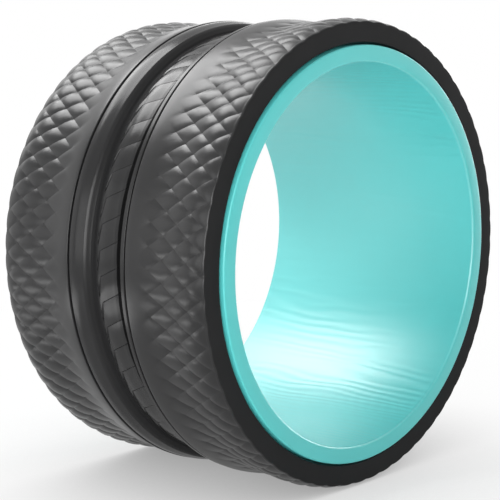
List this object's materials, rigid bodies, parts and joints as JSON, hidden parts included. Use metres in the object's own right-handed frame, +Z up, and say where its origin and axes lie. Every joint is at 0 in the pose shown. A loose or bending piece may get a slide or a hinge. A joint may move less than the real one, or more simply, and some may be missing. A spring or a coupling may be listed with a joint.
{
  "type": "back roller",
  "caption": "Hoop-shaped back roller: a rigid plastic hoop with a quilted foam tread along each side and a shallow spinal canal running round between them.",
  "frame": {"origin": "centre of the hoop, on its axis and half way between its two rim faces", "axes": "the hoop's axis is Y, with the near rim facing -Y; +Z is up with the roller standing on its tread"},
  "size_m": [0.254, 0.152, 0.2538],
  "materials": {
    "hoop_plastic": "glossy teal moulded plastic",
    "tread_foam": "satin charcoal foam with a moulded skin",
    "canal_foam": "satin black foam with a moulded skin"
  },
  "bodies": {
    "root": {"core_hoop": "hoop_plastic", "near_tread_pad": "tread_foam", "far_tread_pad": "tread_foam", "canal_strip": "canal_foam"}
  },
  "joints": []
}
